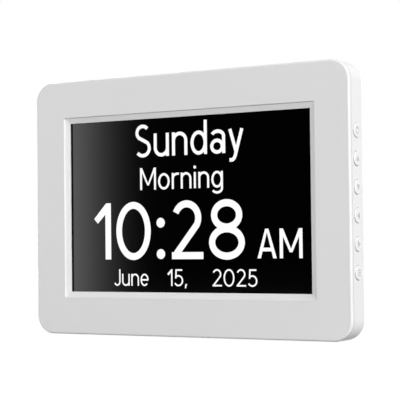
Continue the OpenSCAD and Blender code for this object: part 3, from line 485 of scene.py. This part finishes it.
def glyph(letter, t, look):
    # width, strokes drawn with a pen t wide, and filled outlines; the capitals' height is 1
    h = t / 2
    xh = look["xHeight"]

    def bowl(cx, cy, width, height, start, end, steps=28):
        # arc of the pen's middle, inside the width and height that the letter fills
        return arc(cx, cy, width - h, height - h + look["overshoot"], start, end, steps)

    def loop(cx, cy, width, height):
        return bowl(cx, cy, width, height, 0, 360, 48)

    if letter == "0":
        return 0.73, [loop(0.365, 0.5, 0.365, 0.5)], []
    if letter == "1":
        flag = [(0.365, 1), (0.365 - 0.85 * t, 1), (0, 0.725), (0.08, 0.64), (0.365 - t, 0.8)]
        return 0.365, [], [[(0.365 - t, 0), (0.365, 0)] + flag]
    if letter == "2":
        neck = bowl(0.325, 0.71, 0.295, 0.29, 158, -32)
        return 0.655, [neck + [(0.05 + h, t * 0.75)]], [bar(0.02, 0, 0.655, t)]
    if letter == "5":
        belly = bowl(0.3, 0.325, 0.33, 0.325, 125, -150)
        return 0.63, [[(0.1 + h, 1), (0.07 + h, 0.45)], belly], [bar(0.1, 1 - t, 0.57, 1)]
    if letter == "8":
        return 0.7, [loop(0.35, 0.745, 0.305, 0.255), loop(0.35, 0.28, 0.35, 0.28)], []
    if letter == ":":
        return 0.185, [], [dot(0.0925, y, 0.086, 32) for y in (0.09, 0.635)]
    if letter == ",":
        return 0.13, [], [[(0, -0.13), (0.075, -0.13), (0.16, 0.125), (0.04, 0.125)]]
    if letter == "A":
        foot, knee, tip = t * 1.07, t * 0.1, 1 - t * 0.6
        inset = (0.36 - h) * t * 1.2
        leftLeg = [(0, 0), (foot, 0), (0.37 + knee, tip), (0.37 + h, 1), (0.37 - h, 1)]
        rightLeg = [(0.74, 0), (0.74 - foot, 0), (0.37 - knee, tip), (0.37 - h, 1), (0.37 + h, 1)]
        crossbar = [(0.17, 0.235), (0.57, 0.235), (0.57 - inset, 0.235 + t), (0.17 + inset, 0.235 + t)]
        return 0.74, [], [leftLeg, rightLeg, crossbar]
    if letter == "J":
        return 0.48, [[(0.48 - h, 1)] + bowl(0.24, 0.26, 0.24, 0.26, 0, -155)], []
    if letter == "M":
        foot, knee, shoulder = 0.2, h * 0.8, t * 1.05
        leftArm = [(0, 1), (shoulder, 1), (0.43 + knee, foot), (0.43 - knee, foot)]
        rightArm = [(0.86, 1), (0.86 - shoulder, 1), (0.43 - knee, foot), (0.43 + knee, foot)]
        return 0.86, [], [bar(0, 0, t, 1), bar(0.86 - t, 0, 0.86, 1), leftArm, rightArm]
    if letter == "S":
        top, foot = bowl(0.31, 0.76, 0.27, 0.25, 38, 232), bowl(0.31, 0.275, 0.3, 0.275, 52, -142)
        return 0.61, [top + foot], []
    if letter == "a":
        arch = bowl(0.265, xh - 0.2, 0.265, 0.2, 155, 0)
        return 0.53, [arch + [(0.53 - h, 0)], loop(0.24, 0.22, 0.24, 0.22)], []
    if letter == "d":
        return 0.59, [loop(0.29, xh / 2, 0.29, xh / 2), [(0.59 - h, 0), (0.59 - h, 1.05)]], []
    if letter == "e":
        curl = bowl(0.29, xh / 2, 0.29, xh / 2, 0, 318, 40)
        return 0.58, [curl, [(h, xh / 2), (0.58 - h * 0.4, xh / 2)]], []
    if letter == "g":
        hook = bowl(0.29, -0.03, 0.3, 0.23, 0, -150)
        return 0.59, [loop(0.29, xh / 2, 0.29, xh / 2), [(0.59 - h, xh)] + hook], []
    if letter == "i":
        return t * 1.25, [[(t * 0.625, 0), (t * 0.625, xh)]], [dot(t * 0.625, 0.94, t * 0.66, 24)]
    if letter == "n":
        arch = bowl(0.28, xh - 0.27, 0.28, 0.27, 180, 0)
        return 0.56, [[(h, 0), (h, xh)], arch + [(0.56 - h, 0)]], []
    if letter == "o":
        return 0.62, [loop(0.31, xh / 2, 0.31, xh / 2)], []
    if letter == "r":
        return 0.36, [[(h, 0), (h, xh)], bowl(0.3, xh - 0.27, 0.3, 0.27, 180, 72)], []
    if letter == "u":
        cup = bowl(0.28, 0.27, 0.28, 0.27, 180, 360)
        return 0.56, [[(h, xh)] + cup, [(0.56 - h, xh), (0.56 - h, 0)]], []
    if letter == "y":
        tail = [(0.235, -0.075), (0.2, -0.16), (0.14, -0.215), (0.03, -0.22)]
        return 0.52, [[(h * 0.95, xh), (0.265, h * 0.2)], [(0.52 - h * 0.95, xh)] + tail], []
    return 0.3, [], []


def penStroke(points, t):
    # left and right sides of a line t wide, mitred at its bends
    path = [Vector(point) for point in points]
    legs = [(after - before).normalized() for before, after in zip(path, path[1:])]
    closed = (path[0] - path[-1]).length < 1e-6
    sides = []
    for i, here in enumerate(path):
        before = legs[i - 1] if i > 0 or closed else legs[0]
        after = legs[i] if i < len(legs) else legs[0] if closed else legs[-1]
        along = (before + after).normalized()
        across = Vector((-along.y, along.x))
        reach = t / 2 / max(0.4, across.dot(Vector((-before.y, before.x))))
        sides.append((here + across * reach, here - across * reach))
    return sides


def writeLine(name, line, look, windowFoot, glassFace, material):
    # flat glowing letters just in front of the glass
    scale = line["cap"] * mm
    t = line["stroke"] / line["cap"]
    verts, faces = [], []
    cursor = 0.0

    def place(x, y):
        verts.append((windowFoot.x + line["left"] * mm + (cursor + x) * scale,
                      glassFace - look["lift"], windowFoot.z + line["base"] * mm + y * scale))
        return len(verts) - 1

    for letter in line["words"]:
        width, strokes, fills = glyph(letter, t, look)
        for points in strokes:
            corners = [(place(*left), place(*right)) for left, right in penStroke(points, t)]
            for (a, b), (c, d) in zip(corners, corners[1:]):
                faces.append((a, b, d, c))
        for outline in fills:
            faces.append([place(*point) for point in outline])
        cursor += width + look["gap"]
    piece = newPiece(name, verts, faces)
    thick = piece.modifiers.new("thickness", "SOLIDIFY")
    thick.thickness = look["thickness"]
    thick.offset = 0.0
    piece.data.materials.append(material)
    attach(piece, "case")


glowMaterial, glowTree = newMaterial("displayGlow")
outputTo(glowTree, addNode(glowTree, "ShaderNodeEmission", Color=(1, 1, 1, 1), Strength=textLook["glow"]))
windowHeight = 108.6 * mm  # the opening in the front frame, which is centred in it
frameLow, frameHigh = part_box("front_frame")
windowFoot = Vector((0, frameLow.y, (frameLow.z + frameHigh.z - windowHeight) / 2))
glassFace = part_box("lcd_cell")[0].y
for name, line in textLines.items():
    writeLine(name, line, textLook, windowFoot, glassFace, glowMaterial)
print("display written:", ", ".join(line["words"] for line in textLines.values()))


# the studio: a white floor and surround, and four soft lamps
studio = {
    "floorSize": 30.0, "floorGlow": 0.93, "floorShade": 0.12, "fadeFrom": 0.25, "fadeTo": 1.2,
    "ambient": 0.15, "background": 1.0,
}
lamps = {
    # degrees to the right of the front, degrees up, watts, and whether gloss mirrors it
    "frontLamp": {"turn": 6, "rise": 0, "watts": 52, "mirrored": False},
    "sideLamp": {"turn": 78, "rise": 22, "watts": 47, "mirrored": True},
    "backLamp": {"turn": 180, "rise": 0, "watts": 45, "mirrored": False},
    "leftLamp": {"turn": -130, "rise": 8, "watts": 38, "mirrored": True},
}
lampPlace = {"away": 2.2, "side": 1.35, "aim": Vector((0, 0, 0.08))}


def seenDirectly(tree):
    # 1 for rays from the camera, or by way of a reflection or glass
    rays = tree.nodes.new("ShaderNodeLightPath")
    nearly = combine(tree, "MAXIMUM", rays.outputs["Is Camera Ray"], rays.outputs["Is Glossy Ray"])
    return combine(tree, "MAXIMUM", nearly, rays.outputs["Is Transmission Ray"])


def makeFloor(look):
    size = look["floorSize"] / 2
    corners = [(-size, -size, 0), (size, -size, 0), (size, size, 0), (-size, size, 0)]
    floor = newPiece("studioFloor", corners, [(0, 1, 2, 3)])
    material, tree = newMaterial("studioFloor")
    away = tree.nodes.new("ShaderNodeVectorMath")
    away.operation = "LENGTH"
    link(tree, objectPlace(tree), away.inputs[0])
    glow = spread(tree, away.outputs["Value"], look["floorGlow"], 1.0, look["fadeFrom"], look["fadeTo"])
    matt = addNode(tree, "ShaderNodeBsdfDiffuse", Color=(*[look["floorShade"]] * 3, 1))
    bright = addNode(tree, "ShaderNodeEmission", Color=(1, 1, 1, 1))
    link(tree, combine(tree, "MULTIPLY", glow, seenDirectly(tree)), bright.inputs["Strength"])
    both = tree.nodes.new("ShaderNodeAddShader")
    link(tree, matt.outputs[0], both.inputs[0])
    link(tree, bright.outputs[0], both.inputs[1])
    outputTo(tree, both)
    floor.data.materials.append(material)


def makeWorld(look):
    world = bpy.data.worlds.new("studio")
    bpy.context.scene.world = world
    world.use_nodes = True
    tree = world.node_tree
    tree.nodes.clear()
    sky = addNode(tree, "ShaderNodeBackground", Color=(1, 1, 1, 1))
    strength = spread(tree, seenDirectly(tree), look["ambient"], look["background"], 0.0, 1.0)
    link(tree, strength, sky.inputs["Strength"])
    outputTo(tree, sky, "ShaderNodeOutputWorld")


def makeLamp(name, lamp, look):
    data = bpy.data.lights.new(name, "AREA")
    data.shape = "SQUARE"
    data.size, data.energy = look["side"], lamp["watts"]
    turn, rise = math.radians(lamp["turn"]), math.radians(lamp["rise"])
    way = Vector((math.sin(turn) * math.cos(rise), -math.cos(turn) * math.cos(rise), math.sin(rise)))
    piece = bpy.data.objects.new(name, data)
    piece.location = look["aim"] + way * look["away"]
    piece.rotation_euler = (-way).to_track_quat("-Z", "Y").to_euler()
    piece.visible_glossy = lamp["mirrored"]
    bpy.context.scene.collection.objects.link(piece)


# a dark card that only the display mirrors: its left end brightens
darkFlag = {
    "right": 1.4, "left": -0.42, "away": 0.4, "low": 0.001, "high": 0.9,
    "glow": 3.9, "darkUntil": -0.2874, "brightFrom": -0.3843, "curve": 2.6,
}


def makeDarkFlag(look):
    y = frameLow.y - look["away"]
    corners = [(look["left"], y, look["low"]), (look["right"], y, look["low"]),
               (look["right"], y, look["high"]), (look["left"], y, look["high"])]
    piece = newPiece("darkFlag", corners, [(0, 1, 2, 3)])
    material, tree = newMaterial("darkFlag")
    across = splitAxes(tree, objectPlace(tree))["X"]
    along = spread(tree, across, 0.0, 1.0, look["darkUntil"], look["brightFrom"])
    curved = combine(tree, "POWER", along, look["curve"])
    glow = addNode(tree, "ShaderNodeEmission", Color=(1, 1, 1, 1))
    link(tree, spread(tree, curved, 0.0, look["glow"], 0.0, 1.0), glow.inputs["Strength"])
    outputTo(tree, glow)
    piece.data.materials.append(material)
    for kind in ("camera", "diffuse", "transmission", "volume_scatter", "shadow"):
        setattr(piece, "visible_" + kind, False)


viewpoint = {
    # from the window's bottom centre on the front face, in metres; angles in degrees, lens in mm
    "eye": (0.4461, -0.7135, 0.02965), "yaw": 31.3, "pitch": 1.85, "roll": -0.61, "lens": 123.4,
    "nearest": 0.01, "farthest": 100,
}


def makeCamera(look):
    yaw, pitch, roll = (math.radians(look[key]) for key in ("yaw", "pitch", "roll"))
    forward = Vector((-math.sin(yaw) * math.cos(pitch), math.cos(yaw) * math.cos(pitch), math.sin(pitch)))
    level = Vector((math.cos(yaw), math.sin(yaw), 0))
    upright = level.cross(forward)
    right = math.cos(roll) * level + math.sin(roll) * upright
    up = math.cos(roll) * upright - math.sin(roll) * level
    data = bpy.data.cameras.new("viewpoint")
    data.lens = look["lens"]
    data.clip_start = look["nearest"]
    data.clip_end = look["farthest"]
    camera = bpy.data.objects.new("viewpoint", data)
    turn = Matrix((right, up, -forward)).transposed().to_4x4()
    camera.matrix_world = Matrix.Translation(windowFoot + Vector(look["eye"])) @ turn
    bpy.context.scene.collection.objects.link(camera)
    bpy.context.scene.camera = camera


makeFloor(studio)
makeWorld(studio)
for name, lamp in lamps.items():
    makeLamp(name, lamp, lampPlace)
makeDarkFlag(darkFlag)
makeCamera(viewpoint)
bpy.context.scene.view_settings.view_transform = "Standard"
print("studio ready")
